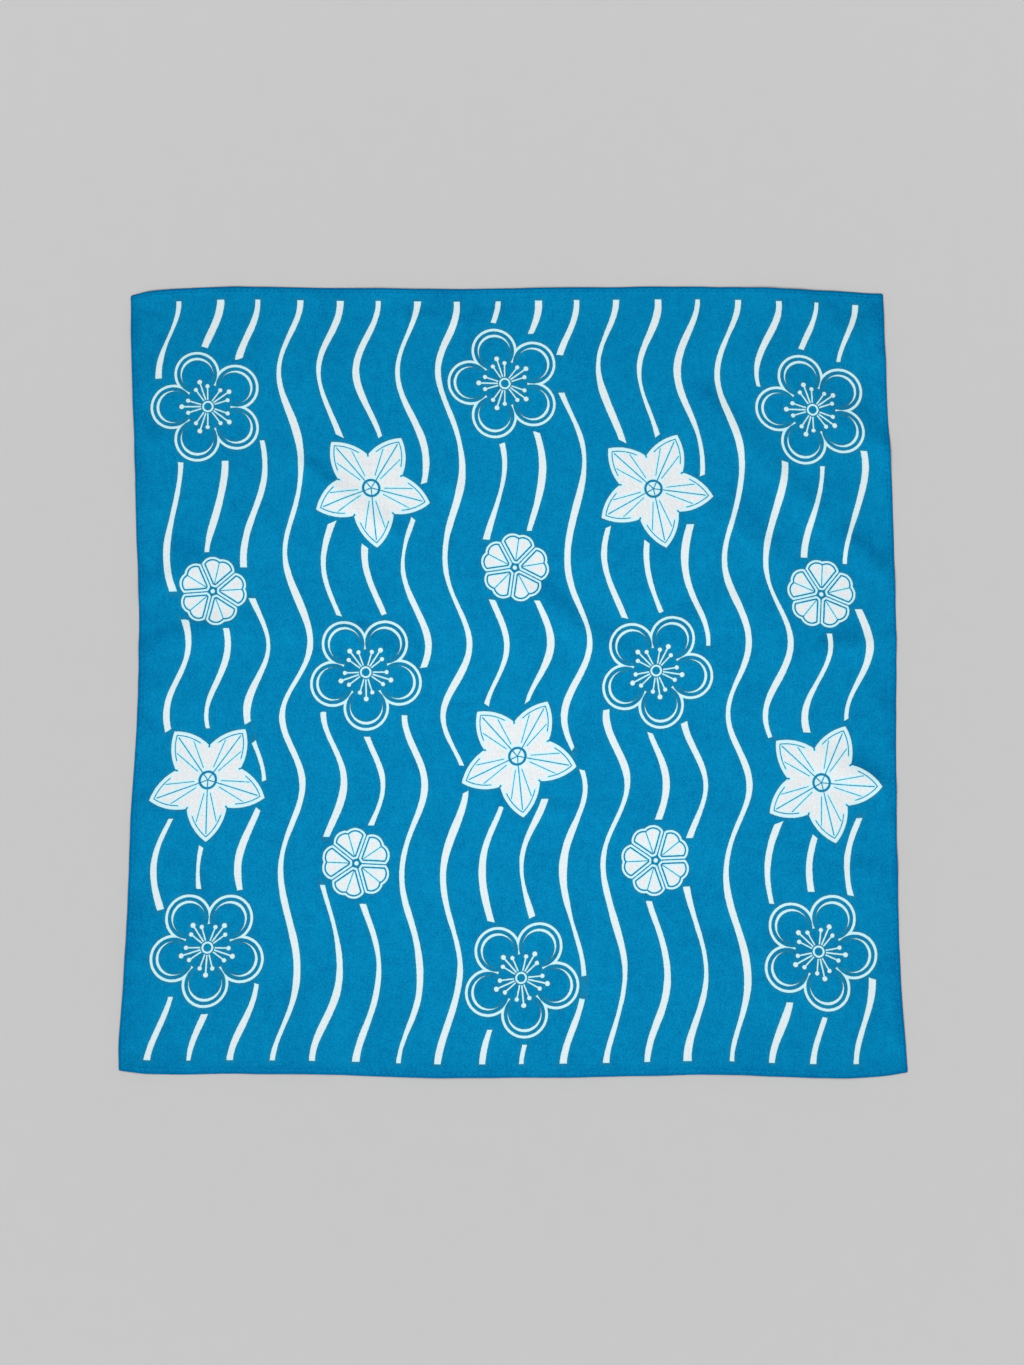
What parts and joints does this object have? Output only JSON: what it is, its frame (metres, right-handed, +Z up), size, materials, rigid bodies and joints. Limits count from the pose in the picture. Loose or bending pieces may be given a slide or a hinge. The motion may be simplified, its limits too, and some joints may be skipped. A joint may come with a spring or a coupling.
{
  "type": "bandana",
  "caption": "Square cotton bandana with a narrow turned hem, lying face up and nearly flat with low soft ripples, to wear, tie, wipe or wrap with.",
  "frame": {"origin": "centre of the cloth's bounding box, at the height of the surface that it lies on", "axes": "+X to the right and +Y to the far edge of the cloth as it is seen from above, +Z up out of its printed face"},
  "size_m": [0.5222, 0.537, 0.003],
  "materials": {
    "printed_cotton": "plain-woven cotton lawn, matt, cerulean blue ground with a white print on its face",
    "sewing_thread": "matched blue polyester-cotton thread, slightly lighter than the cloth"
  },
  "bodies": {
    "root": {"cloth": "printed_cotton"}
  },
  "joints": []
}
